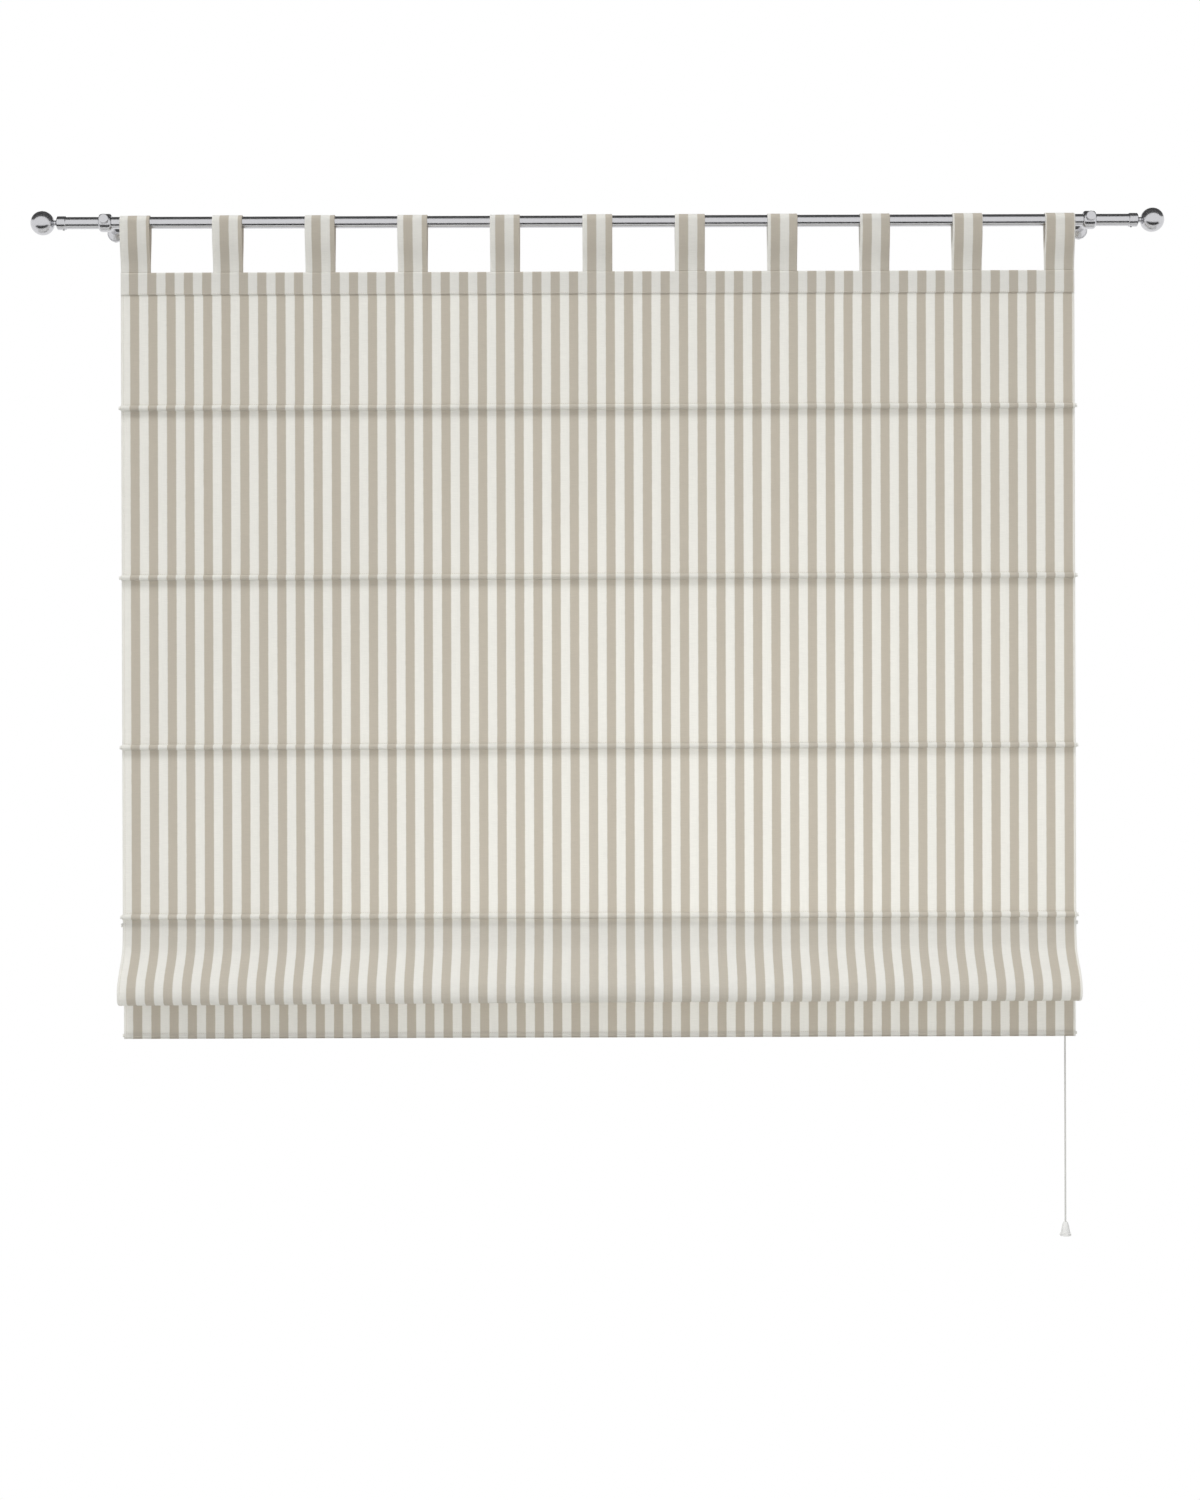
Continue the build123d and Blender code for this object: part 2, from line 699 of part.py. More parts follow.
def main():
    os.makedirs("parts", exist_ok=True)
    save("curtain_rod", curtain_rod())
    save("finial_screws", finial_screws())
    save("foot_screws", foot_screws())
    for name, side in (("left", -1), ("right", 1)):
        save(f"finial_{name}", finial(side))
        save(f"wall_plate_{name}", wall_plate(side))
        save(f"bracket_{name}", bracket(side))
        save(f"clamp_knob_{name}", clamp_knob(side))
    for number in range(tab_count):
        save(f"tab_{number + 1:02d}", tab(number))
    save("heading_band", heading_band())
    save("head_lath", head_lath())
    save("shade_cloth", shade_cloth())
    for number in range(1, visible_battens + 1):
        place = (-pocket_radius, batten_z(number))
        save(f"batten_{number}", batten(*place))
        save(f"batten_caps_{number}", batten_caps(*place))
        save(f"cord_rings_{number}", cord_rings(batten_z(number)))
    save("batten_5", batten(lowest_batten_back, fifth_batten_z))
    save("batten_caps_5", batten_caps(lowest_batten_back, fifth_batten_z))
    save("hem_bar", batten(hem_panel_y + pocket_radius, hem_bar_z))
    save("tie_eyelets", tie_eyelets())
    save("tie_knots", tie_knots())
    save("cord_guides", cord_guides())
    for number in range(1, ring_columns + 1):
        save(f"lift_cord_{number}", lift_cord(number))
    save("lock_housing", lock_housing())
    save("lock_guide_bar", lock_guide_bar())
    save("lock_screws", lock_screws())
    save("jam_roller", jam_roller())
    save("roller_pin", roller_pin())
    save("pull_cord", pull_cord())
    save("cord_bell", cord_bell())
    save("bell_knot", bell_knot())


main()
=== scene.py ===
import math

import bmesh
import bpy
import numpy as np
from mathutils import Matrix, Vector


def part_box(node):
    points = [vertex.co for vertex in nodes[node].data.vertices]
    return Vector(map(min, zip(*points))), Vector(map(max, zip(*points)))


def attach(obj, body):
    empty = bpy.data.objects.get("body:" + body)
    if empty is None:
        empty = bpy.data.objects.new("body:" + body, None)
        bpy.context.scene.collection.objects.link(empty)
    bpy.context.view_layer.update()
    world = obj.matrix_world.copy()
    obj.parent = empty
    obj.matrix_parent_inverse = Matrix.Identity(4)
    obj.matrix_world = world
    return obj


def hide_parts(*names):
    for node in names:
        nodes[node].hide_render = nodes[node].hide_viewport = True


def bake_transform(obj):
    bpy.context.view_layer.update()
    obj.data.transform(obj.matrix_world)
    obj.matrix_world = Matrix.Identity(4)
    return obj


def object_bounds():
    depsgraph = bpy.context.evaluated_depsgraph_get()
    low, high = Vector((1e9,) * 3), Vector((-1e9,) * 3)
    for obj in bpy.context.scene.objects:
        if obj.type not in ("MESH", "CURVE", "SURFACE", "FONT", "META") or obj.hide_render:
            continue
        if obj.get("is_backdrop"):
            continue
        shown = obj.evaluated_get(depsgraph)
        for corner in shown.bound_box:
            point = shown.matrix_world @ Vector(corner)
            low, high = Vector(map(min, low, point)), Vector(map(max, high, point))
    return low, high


# A tab-top roman blind on a curtain rod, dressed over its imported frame. Lengths are in metres.

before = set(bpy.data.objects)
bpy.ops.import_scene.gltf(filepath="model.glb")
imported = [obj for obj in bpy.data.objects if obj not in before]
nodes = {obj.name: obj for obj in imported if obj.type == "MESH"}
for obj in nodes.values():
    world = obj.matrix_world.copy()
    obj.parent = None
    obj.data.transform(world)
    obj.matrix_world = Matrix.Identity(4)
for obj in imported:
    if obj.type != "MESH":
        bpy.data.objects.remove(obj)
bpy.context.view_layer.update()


def middle(node):
    """Centre of a CAD node's box."""
    low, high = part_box(node)
    return (low + high) / 2


# Places read from the frame
cloth_y = middle("curtain_rod").y
rod_radius = (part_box("curtain_rod")[1].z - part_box("curtain_rod")[0].z) / 2
half_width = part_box("shade_cloth")[1].x
heading_low, heading_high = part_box("heading_band")
batten_z = [middle(f"batten_{number}").z for number in range(1, 6)]
hem_bar = middle("hem_bar")
pull_cord_place = middle("pull_cord")

# Cloth
cloth_thickness = 0.0008
stripe_period = 0.0307
side_hem = 0.005
seam_inset = 0.0042
column_step = 0.010
front_leg_y = 0.0014
hem_panel_y = 0.0076
crown_z = batten_z[4] + 0.0031
hem_seam_height = 0.007
belly_y = -0.053
loop_drop = 0.1415
sag_depth = 0.0035
band_front = -0.0011
band_back = 0.0054
heading_stretch = 1.002
through_share = 0.30
white_stripe = (243, 242, 237)
beige_stripe = (209, 202, 189)
stripe_wobble = 0.0008
stripe_blur = 0.0005
weft_grain = (60.0, 1400.0, 1.0)
warp_grain = (1600.0, 25.0, 1.0)
weave_scale = 420.0
pocket_reach = 0.0070

# Tabs
tab_width = 0.050
tab_thickness = 0.0016
tab_reach = rod_radius + 0.0011
tab_front = 0.00115
tab_back = 0.00315

# Cords
cord_radius = 0.0014
cord_strands = 4
lift_cord_radius = 0.0006
ring_columns = (-0.69, -0.23, 0.23, 0.69)
ring_y = 0.012
guide_z = -0.100
bundle_offset = 0.0007
below_guide = 0.030
past_guide = 0.012
before_lock_bar = 0.008

# Stitches
stitch_pitch = 0.0036
stitch_length = 0.0028
stitch_radius = 0.00028

# Camera, matched to the photograph
camera_place = (0.0017, -4.088, -0.887)
camera_lens = 57.2
camera_roll = math.radians(0.18)
floor_z = -2.75


def link(obj):
    bpy.context.scene.collection.objects.link(obj)
    return obj


def mesh_piece(name, points, faces, material, uvs=None, smooth=True):
    """A new mesh object from points and faces; uvs holds one (u, v) for each point."""
    mesh = bpy.data.meshes.new(name)
    mesh.from_pydata([tuple(p) for p in points], [], [tuple(f) for f in faces])
    mesh.materials.append(material)
    mesh.polygons.foreach_set("use_smooth", [smooth] * len(mesh.polygons))
    if uvs is not None:
        layer = mesh.uv_layers.new(name="cloth")
        corners = np.empty(len(mesh.loops), np.int32)
        mesh.loops.foreach_get("vertex_index", corners)
        layer.data.foreach_set("uv", np.asarray(uvs, np.float32)[corners].ravel())
    mesh.update()
    return link(bpy.data.objects.new(name, mesh))


# Materials


def new_material(name):
    material = bpy.data.materials.new(name)
    material.use_nodes = True
    tree = material.node_tree
    tree.nodes.clear()
    return material, tree


def add(tree, kind, inputs=None, **settings):
    """Adds a node; an input may be a constant or another node's output socket."""
    node = tree.nodes.new(kind)
    for key, value in settings.items():
        setattr(node, key, value)
    for key, value in (inputs or {}).items():
        if isinstance(value, bpy.types.NodeSocket):
            tree.links.new(value, node.inputs[key])
        else:
            node.inputs[key].default_value = value
    return node


def maths(tree, operation, first, second=0.0, third=0.0):
    """One Math node's result."""
    return add(tree, "ShaderNodeMath", {0: first, 1: second, 2: third}, operation=operation).outputs[0]


def linear(red, green, blue):
    """A colour written as it looks on screen, 0 to 255, as the renderer wants it."""
    values = [c / 255 for c in (red, green, blue)]
    return (*[c / 12.92 if c <= 0.04045 else ((c + 0.055) / 1.055) ** 2.4 for c in values], 1.0)


def striped_cloth(name):
    """Woven beige and white stripes that let light through, with slubs along the weft."""
    material, tree = new_material(name)
    uv = add(tree, "ShaderNodeUVMap", uv_map="cloth").outputs[0]
    axes = add(tree, "ShaderNodeSeparateXYZ", {0: uv})
    wobble = add(tree, "ShaderNodeTexNoise", {"Vector": uv, "Scale": 90.0, "Detail": 2.0})
    shift = maths(tree, "MULTIPLY_ADD", wobble.outputs["Fac"], stripe_wobble, -stripe_wobble / 2)
    across = maths(tree, "ADD", axes.outputs[0], shift)
    wave = maths(tree, "PINGPONG", maths(tree, "SUBTRACT", across, stripe_period / 4), stripe_period / 2)
    edge = stripe_period / 4
    beige_part = add(
        tree,
        "ShaderNodeMapRange",
        {"Value": wave, "From Min": edge - stripe_blur, "From Max": edge + stripe_blur},
    ).outputs[0]
    weft = add(tree, "ShaderNodeMapping", {"Vector": uv, "Scale": weft_grain}).outputs[0]
    slubs = add(tree, "ShaderNodeTexNoise", {"Vector": weft, "Scale": 1.0, "Detail": 3.0}).outputs["Fac"]
    warp = add(tree, "ShaderNodeMapping", {"Vector": uv, "Scale": warp_grain}).outputs[0]
    ends = add(tree, "ShaderNodeTexNoise", {"Vector": warp, "Scale": 1.0, "Detail": 2.0}).outputs["Fac"]
    clouds = add(tree, "ShaderNodeTexNoise", {"Vector": uv, "Scale": 3.0, "Detail": 3.0}).outputs["Fac"]
    tone = maths(tree, "MULTIPLY_ADD", slubs, 0.16, 0.92)
    tone = maths(tree, "MULTIPLY", tone, maths(tree, "MULTIPLY_ADD", ends, 0.10, 0.95))
    tone = maths(tree, "MULTIPLY", tone, maths(tree, "MULTIPLY_ADD", clouds, 0.06, 0.97))
    colour = add(
        tree,
        "ShaderNodeMix",
        {"Factor": beige_part, "A": linear(*white_stripe), "B": linear(*beige_stripe)},
        data_type="RGBA",
    ).outputs["Result"]
    shade = add(tree, "ShaderNodeVectorMath", {0: colour, 3: tone}, operation="SCALE").outputs[0]
    weave = {"Vector": uv, "Scale": weave_scale}
    threads = add(tree, "ShaderNodeTexWave", weave, bands_direction="X").outputs["Fac"]
    picks = add(tree, "ShaderNodeTexWave", weave, bands_direction="Y").outputs["Fac"]
    crossings = maths(tree, "MULTIPLY", threads, picks)
    height = maths(tree, "ADD", crossings, maths(tree, "MULTIPLY", slubs, 1.5))
    bump = add(tree, "ShaderNodeBump", {"Height": height, "Strength": 0.35, "Distance": 0.0002}).outputs[0]
    face = add(
        tree,
        "ShaderNodeBsdfPrincipled",
        {
            "Base Color": shade,
            "Roughness": 0.85,
            "Sheen Weight": 0.15,
            "Sheen Roughness": 0.5,
            "Normal": bump,
        },
    ).outputs[0]
    through = add(tree, "ShaderNodeBsdfTranslucent", {"Color": shade, "Normal": bump}).outputs[0]
    mixed = add(tree, "ShaderNodeMixShader", {0: through_share, 1: face, 2: through}).outputs[0]
    add(tree, "ShaderNodeOutputMaterial", {"Surface": mixed})
    return material


def plain_surface(
    name, colour, roughness, metallic=0.0, grain_scale=300.0, grain=0.04, bump=0.0, stretch=(1, 1, 1)
):
    """A solid finish with a fine grain in its tone, roughness and height."""
    material, tree = new_material(name)
    place = add(tree, "ShaderNodeTexCoord").outputs["Object"]
    place = add(tree, "ShaderNodeMapping", {"Vector": place, "Scale": stretch}).outputs[0]
    grains = {"Vector": place, "Scale": grain_scale, "Detail": 4.0}
    noise = add(tree, "ShaderNodeTexNoise", grains).outputs["Fac"]
    tone = maths(tree, "MULTIPLY_ADD", noise, 2 * grain, 1 - grain)
    base = add(tree, "ShaderNodeRGB")
    base.outputs[0].default_value = colour
    shade = add(tree, "ShaderNodeVectorMath", {0: base.outputs[0], 3: tone}, operation="SCALE").outputs[0]
    rough = maths(tree, "MULTIPLY_ADD", noise, 0.12, roughness - 0.06)
    relief = add(tree, "ShaderNodeBump", {"Height": noise, "Strength": bump, "Distance": 0.0002}).outputs[0]
    shader = add(
        tree,
        "ShaderNodeBsdfPrincipled",
        {"Base Color": shade, "Roughness": rough, "Metallic": metallic, "Normal": relief},
    ).outputs[0]
    add(tree, "ShaderNodeOutputMaterial", {"Surface": shader})
    return material


cloth = striped_cloth("striped_cloth")
satin_chrome = plain_surface(
    "satin_chrome",
    linear(206, 206, 209),
    roughness=0.22,
    metallic=1.0,
    grain_scale=900.0,
    grain=0.03,
    bump=0.03,
    stretch=(1, 8, 8),
)
bright_steel = plain_surface(
    "bright_steel",
    linear(176, 176, 176),
    roughness=0.3,
    metallic=1.0,
    grain_scale=700.0,
    grain=0.04,
    bump=0.1,
)
brass = plain_surface(
    "brass",
    linear(205, 170, 96),
    roughness=0.3,
    metallic=1.0,
    grain_scale=600.0,
    grain=0.05,
    bump=0.1,
)
lath_wood = plain_surface(
    "lath_wood",
    linear(206, 180, 140),
    roughness=0.6,
    metallic=0.0,
    grain_scale=60.0,
    grain=0.12,
    bump=0.3,
    stretch=(1, 20, 20),
)
glass_fibre = plain_surface(
    "glass_fibre",
    linear(232, 232, 224),
    roughness=0.4,
    metallic=0.0,
    grain_scale=200.0,
    grain=0.05,
    bump=0.1,
    stretch=(1, 30, 30),
)
white_plastic = plain_surface(
    "white_plastic",
    linear(236, 236, 232),
    roughness=0.35,
    metallic=0.0,
    grain_scale=500.0,
    grain=0.02,
    bump=0.1,
)
white_cord = plain_surface(
    "white_cord",
    linear(204, 204, 200),
    roughness=0.8,
    metallic=0.0,
    grain_scale=1500.0,
    grain=0.08,
    bump=0.5,
)
thread = plain_surface(
    "sewing_thread",
    linear(214, 208, 196),
    roughness=0.7,
    metallic=0.0,
    grain_scale=2500.0,
    grain=0.08,
    bump=0.3,
)
white_bell = plain_surface(
    "white_bell",
    linear(222, 222, 220),
    roughness=0.35,
    metallic=0.0,
    grain_scale=500.0,
    grain=0.02,
    bump=0.1,
)


# The cloth's own shapes


def smooth_line(corners, steps=10):
    """A quadratic spline through the middles of a corner line's runs, as (y, z) points."""
    corners = np.asarray(corners, float)
    middles = (corners[1:] + corners[:-1]) / 2
    starts = np.vstack([corners[:1], middles[1:-1]])
    ends = np.vstack([middles[1:-1], corners[-1:]])
    line = [corners[0]]
    for start, corner, end in zip(starts, corners[1:-1], ends):
        for t in np.linspace(0, 1, steps + 1)[1:]:
            line.append((1 - t) ** 2 * start + 2 * t * (1 - t) * corner + t**2 * end)
    return np.array(line)


def even_line(line, step):
    """The same line with points an even step apart, both ends kept."""
    lengths = np.r_[0, np.cumsum(np.linalg.norm(np.diff(line, axis=0), axis=1))]
    count = max(2, round(lengths[-1] / step) + 1)
    places = np.linspace(0, lengths[-1], count)
    return np.column_stack([np.interp(places, lengths, line[:, axis]) for axis in (0, 1)]), places


def ripple(x):
    """How far the hanging cloth stands forward of its flat place, across its width."""
    long_wave = 0.0006 * np.sin(8.1 * x + 0.6)
    short_wave = 0.0004 * np.sin(19.0 * x + 1.7)
    return long_wave + short_wave


def edge_columns(left, right):
    """Places across a cloth: even between its side hems and fine over them."""
    count = max(2, round((right - left) / column_step))
    inner = np.linspace(left + 2 * side_hem, right - 2 * side_hem, count)
    fine = np.array([0, 0.0003, 0.0008, 0.0030, 0.0039, 0.0042, 0.0045, 0.0049, 0.0052, 0.0060])
    return np.concatenate([left + fine, inner, (right - fine)[::-1]])


def hemmed(columns, thickness, hem_extra):
    """Thickness across the cloth: doubled over the side hems, pinched at their seams, round at the edge."""
    from_edge = np.minimum(columns - columns[0], columns[-1] - columns)
    doubled = np.clip((side_hem + 0.0002 - from_edge) / 0.0004, 0, 1)
    pinch = np.exp(-(((from_edge - seam_inset) / 0.0004) ** 2))
    rounded = np.sqrt(np.clip((from_edge + 0.0001) / 0.0009, 0.1, 1))
    return (thickness + hem_extra * (doubled - 0.6 * pinch)) * rounded


def cloth_piece(
    name,
    line,
    step,
    width=(-half_width, half_width),
    thickness=cloth_thickness,
    hem_extra=0.0007,
    start_v=0.0,
    stretch=1.0,
    sag=None,
):
    """A closed sheet whose section follows a (y, z) line. Its UVs are metres of cloth."""
    line, places = even_line(np.asarray(line, float), step)
    along = np.gradient(line, axis=0)
    along /= np.linalg.norm(along, axis=1)[:, None]
    normal = np.column_stack([along[:, 1], -along[:, 0]])
    columns = edge_columns(*width)
    depth = hemmed(columns, thickness, hem_extra) / 2
    rows, count = len(line), len(columns)
    points, uvs = [], []
    for side in (1, -1):
        for (y, z), (turn_y, turn_z), place in zip(line, normal, places):
            drop = sag(columns, z) if sag else 0.0
            across_y = cloth_y + y + side * depth * turn_y - ripple(columns)
            points.append(np.column_stack([columns, across_y, z + side * depth * turn_z + drop]))
            uvs.append(np.column_stack([half_width + columns / stretch, np.full(count, start_v + place)]))
    points, uvs = np.vstack(points), np.vstack(uvs)
    other = rows * count
    faces = []
    for row in range(rows - 1):
        for column in range(count - 1):
            a = row * count + column
            b = a + count
            faces.append((a, a + 1, b + 1, b))
            faces.append((other + a, other + b, other + b + 1, other + a + 1))
        a, b = row * count, (row + 1) * count
        faces.append((a, b, other + b, other + a))
        a, b = a + count - 1, b + count - 1
        faces.append((a, other + a, other + b, b))
    for column in range(count - 1):
        a, b = column, (rows - 1) * count + column
        faces.append((a, other + a, other + a + 1, a + 1))
        faces.append((b, b + 1, other + b + 1, other + b))
    return mesh_piece(name, points, faces, cloth, uvs)


def pocket_line(y, z, side):
    """Section of the cloth round a batten's pocket, on the side (-1 front, 1 back) that it stands out."""
    reach = side * pocket_reach
    return smooth_line(
        [
            (y, z + 0.0052),
            (y + 0.1 * reach, z + 0.0036),
            (y + 0.55 * reach, z + 0.0042),
            (y + reach, z + 0.0026),
            (y + reach, z - 0.0026),
            (y + 0.55 * reach, z - 0.0042),
            (y + 0.1 * reach, z - 0.0036),
            (y, z - 0.0052),
        ],
        4,
    )


def stitch_tree(material):
    """Geometry Nodes that lay a small sewn stitch at even steps along every edge line of a mesh."""
    tree = bpy.data.node_groups.new("sewn_stitches", "GeometryNodeTree")
    sockets = {}
    tree.interface.new_socket("Geometry", in_out="INPUT", socket_type="NodeSocketGeometry")
    for label, value in (("Pitch", stitch_pitch), ("Length", stitch_length), ("Radius", stitch_radius)):
        socket = tree.interface.new_socket(label, in_out="INPUT", socket_type="NodeSocketFloat")
        socket.default_value = value
        sockets[label] = socket.identifier
    tree.interface.new_socket("Geometry", in_out="OUTPUT", socket_type="NodeSocketGeometry")
    given = add(tree, "NodeGroupInput").outputs
    curve = add(tree, "GeometryNodeMeshToCurve", {"Mesh": given["Geometry"]}).outputs["Curve"]
    even = add(tree, "GeometryNodeResampleCurve", {"Curve": curve, "Length": given["Pitch"]}, mode="LENGTH")
    tangent = add(tree, "GeometryNodeInputTangent").outputs[0]
    turn = add(tree, "FunctionNodeAlignRotationToVector", {"Vector": tangent}, axis="X").outputs[0]
    ball = add(tree, "GeometryNodeMeshUVSphere", {"Segments": 6, "Rings": 4, "Radius": 1.0}).outputs["Mesh"]
    half = maths(tree, "MULTIPLY", given["Length"], 0.5)
    size = add(tree, "ShaderNodeCombineXYZ", {0: half, 1: given["Radius"], 2: given["Radius"]}).outputs[0]
    laid = add(
        tree,
        "GeometryNodeInstanceOnPoints",
        {"Points": even.outputs[0], "Instance": ball, "Rotation": turn, "Scale": size},
    ).outputs[0]
    whole = add(tree, "GeometryNodeRealizeInstances", {"Geometry": laid}).outputs[0]
    done = add(tree, "GeometryNodeSetMaterial", {"Geometry": whole, "Material": material}).outputs[0]
    add(tree, "NodeGroupOutput", {"Geometry": done})
    return tree, sockets


def stitches(name, lines):
    """One mesh of stitches along several lines of points."""
    points = [tuple(p) for line in lines for p in line]
    edges, first = [], 0
    for line in lines:
        edges += [(first + k, first + k + 1) for k in range(len(line) - 1)]
        first += len(line)
    guide = bpy.data.meshes.new(name + "_guide")
    guide.from_pydata(points, edges, [])
    holder = link(bpy.data.objects.new(name + "_guide", guide))
    modifier = holder.modifiers.new("stitches", "NODES")
    modifier.node_group = sewn[0]
    modifier[sewn[1]["Pitch"]] = stitch_pitch
    modifier[sewn[1]["Length"]] = stitch_length
    modifier[sewn[1]["Radius"]] = stitch_radius
    mesh = bpy.data.meshes.new_from_object(holder.evaluated_get(bpy.context.evaluated_depsgraph_get()))
    mesh.name = name
    mesh.polygons.foreach_set("use_smooth", [True] * len(mesh.polygons))
    bpy.data.objects.remove(holder)
    piece = link(bpy.data.objects.new(name, mesh))
    return piece


def seam_across(y, z, inset=0.004):
    """Points of a seam from side to side, on the front of the cloth."""
    xs = np.linspace(-half_width + inset, half_width - inset, 161)
    return np.column_stack([xs, cloth_y + y - cloth_thickness / 2 - ripple(xs), np.full(len(xs), z)])


def seams_down(line, depth=0.0006):
    """Points of the two side seams along a (y, z) section, a little in front of it."""
    line, _ = even_line(np.asarray(line, float), 0.006)
    along = np.gradient(line, axis=0)
    along /= np.linalg.norm(along, axis=1)[:, None]
    front = line + depth * np.column_stack([along[:, 1], -along[:, 0]])
    rows = []
    for x in (-half_width + seam_inset, half_width - seam_inset):
        across = cloth_y + front[:, 0] - ripple(x)
        rows.append(np.column_stack([np.full(len(front), x), across, front[:, 1]]))
    return rows


sewn = stitch_tree(thread)

# Heading and tabs
heading_line = smooth_line(
    [
        (band_front, heading_low.z),
        (band_front, heading_high.z - 0.0030),
        (band_front, heading_high.z - 0.0004),
        (band_back, heading_high.z - 0.0004),
        (band_back, heading_high.z - 0.0030),
        (band_back, heading_low.z),
    ],
    6,
)
heading = cloth_piece("heading", heading_line, 0.0015, stretch=heading_stretch)
heading_seam = stitches("heading_seam", [seam_across(band_front, heading_low.z + 0.0022)])
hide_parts("heading_band")
for piece in (heading, heading_seam):
    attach(piece, "hanging")

half_turn = np.linspace(0, math.pi, 25)
over_rod = [(-tab_reach * math.cos(turn), tab_reach * math.sin(turn)) for turn in half_turn]
front_leg = smooth_line(
    [
        (tab_front, heading_high.z - 0.001),
        (tab_front, heading_high.z + 0.014),
        (-tab_reach, -0.026),
        (-tab_reach, 0),
    ]
)
back_leg = smooth_line(
    [
        (tab_reach, 0),
        (tab_reach, -0.026),
        (tab_back, heading_high.z + 0.014),
        (tab_back, heading_high.z - 0.001),
    ]
)
tab_line = np.vstack([front_leg, over_rod[1:-1], back_leg])
for name in sorted(name for name in nodes if name.startswith("tab_")):
    x = middle(name).x
    strap = cloth_piece(
        name.replace("tab", "tab_strap"),
        tab_line,
        0.0025,
        width=(x - tab_width / 2, x + tab_width / 2),
        thickness=tab_thickness,
        hem_extra=0.0003,
        stretch=heading_stretch,
    )
    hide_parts(name)
    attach(strap, "hanging")

# Panels between the battens
panel_bodies = ["hanging", "batten_1", "batten_2", "batten_3", "batten_4"]
top_z = heading_high.z - cloth_thickness - 0.0015
panel_tops = [top_z] + batten_z[:3]
for number, (top, bottom) in enumerate(zip(panel_tops, batten_z[:4]), start=1):
    section = [(0, top), (0, bottom)]
    panel = cloth_piece(f"cloth_panel_{number}", section, 0.004, start_v=top_z - top)
    seams = stitches(f"panel_seams_{number}", seams_down(section))
    ridge_line = pocket_line(0, bottom, -1)
    ridge = cloth_piece(f"batten_pocket_{number}", ridge_line, 0.0006, start_v=top_z - bottom)
    pocket_seam = stitches(f"pocket_seam_{number}", [seam_across(0, bottom + 0.0062)])
    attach(ridge, panel_bodies[number])
    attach(pocket_seam, panel_bodies[number])
    for piece in (panel, seams):
        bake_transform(piece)

# The raised loop, which hangs in front of the hem: straight down, out to its belly, under and up again
z4 = batten_z[3]
loop_line = smooth_line(
    [
        (0, z4),
        (0, z4 - 0.046),
        (-0.014, z4 - 0.070),
        (-0.050, z4 - 0.104),
        (belly_y, z4 - 0.133),
        (-0.040, z4 - loop_drop),
        (-0.018, z4 - loop_drop),
        (-0.004, z4 - 0.118),
        (front_leg_y, z4 - 0.050),
        (front_leg_y, batten_z[4]),
    ]
)
lowest = int(np.argmin(loop_line[:, 1]))


def loop_sag(columns, z):
    """The loop hangs a few millimetres lower towards its left end."""
    share = np.clip((z4 - z) / 0.14, 0, 1) ** 2
    return -sag_depth * share * np.clip((0.1 - columns) / 0.9, 0, 1)


loop_back_v = top_z - z4 + 0.15
hem_panel_v = top_z - z4 + 0.28
hem_pocket_v = top_z - z4 + 0.47
loop_front = cloth_piece("loop_front", loop_line[: lowest + 1], 0.003, start_v=top_z - z4, sag=loop_sag)
loop_back = cloth_piece("loop_back", loop_line[lowest:], 0.003, start_v=loop_back_v, sag=loop_sag)
loop_seams = stitches("loop_seams", seams_down(loop_line[: lowest + 1]))
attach(loop_front, "batten_4")
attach(loop_seams, "batten_4")
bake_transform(loop_back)

# The hem, behind the loop
crown_line = smooth_line(
    [
        (front_leg_y, batten_z[4]),
        (front_leg_y, crown_z),
        (hem_panel_y, crown_z),
        (hem_panel_y, batten_z[4]),
    ],
    6,
)
hem_bottom = hem_bar.z - 0.0035
hem_line = np.vstack([crown_line, [(hem_panel_y, hem_bottom)]])
hem_panel = cloth_piece("hem_panel", hem_line, 0.003, start_v=hem_panel_v)
hem_pocket_line = pocket_line(hem_panel_y, hem_bar.z, 1)
hem_pocket = cloth_piece("hem_pocket", hem_pocket_line, 0.0006, start_v=hem_pocket_v)
hem_side_seams = seams_down([(hem_panel_y, batten_z[4] - 0.02), (hem_panel_y, hem_bottom)])
hem_seams = stitches("hem_seams", [seam_across(hem_panel_y, hem_bottom + hem_seam_height), *hem_side_seams])
for piece in (hem_panel, hem_pocket, hem_seams):
    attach(piece, "hem")
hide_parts("shade_cloth")


# The pull cord

cord_top = (pull_cord_place.x, pull_cord_place.y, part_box("pull_cord")[1].z)
cord_split = (pull_cord_place.x, pull_cord_place.y, -0.95)
cord_end = (pull_cord_place.x, pull_cord_place.y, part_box("pull_cord")[0].z)


def cord_line(name, route):
    """Points along the smooth line of a cord's route."""
    curve = bpy.data.curves.new(name, "CURVE")
    curve.dimensions = "3D"
    spline = curve.splines.new("NURBS")
    spline.points.add(len(route) - 1)
    for point, place in zip(spline.points, route):
        point.co = (*place, 1)
    spline.order_u = 3
    spline.use_endpoint_u = True
    spline.resolution_u = 24
    holder = link(bpy.data.objects.new(name, curve))
    mesh = bpy.data.meshes.new_from_object(holder.evaluated_get(bpy.context.evaluated_depsgraph_get()))
    points = [tuple(v.co) for v in mesh.vertices]
    bpy.data.objects.remove(holder)
    bpy.data.meshes.remove(mesh)
    return points


def run(start, end, count):
    """A straight route of so many points."""
    start, end = np.array(start), np.array(end)
    return [tuple(start + (end - start) * k / (count - 1)) for k in range(count)]


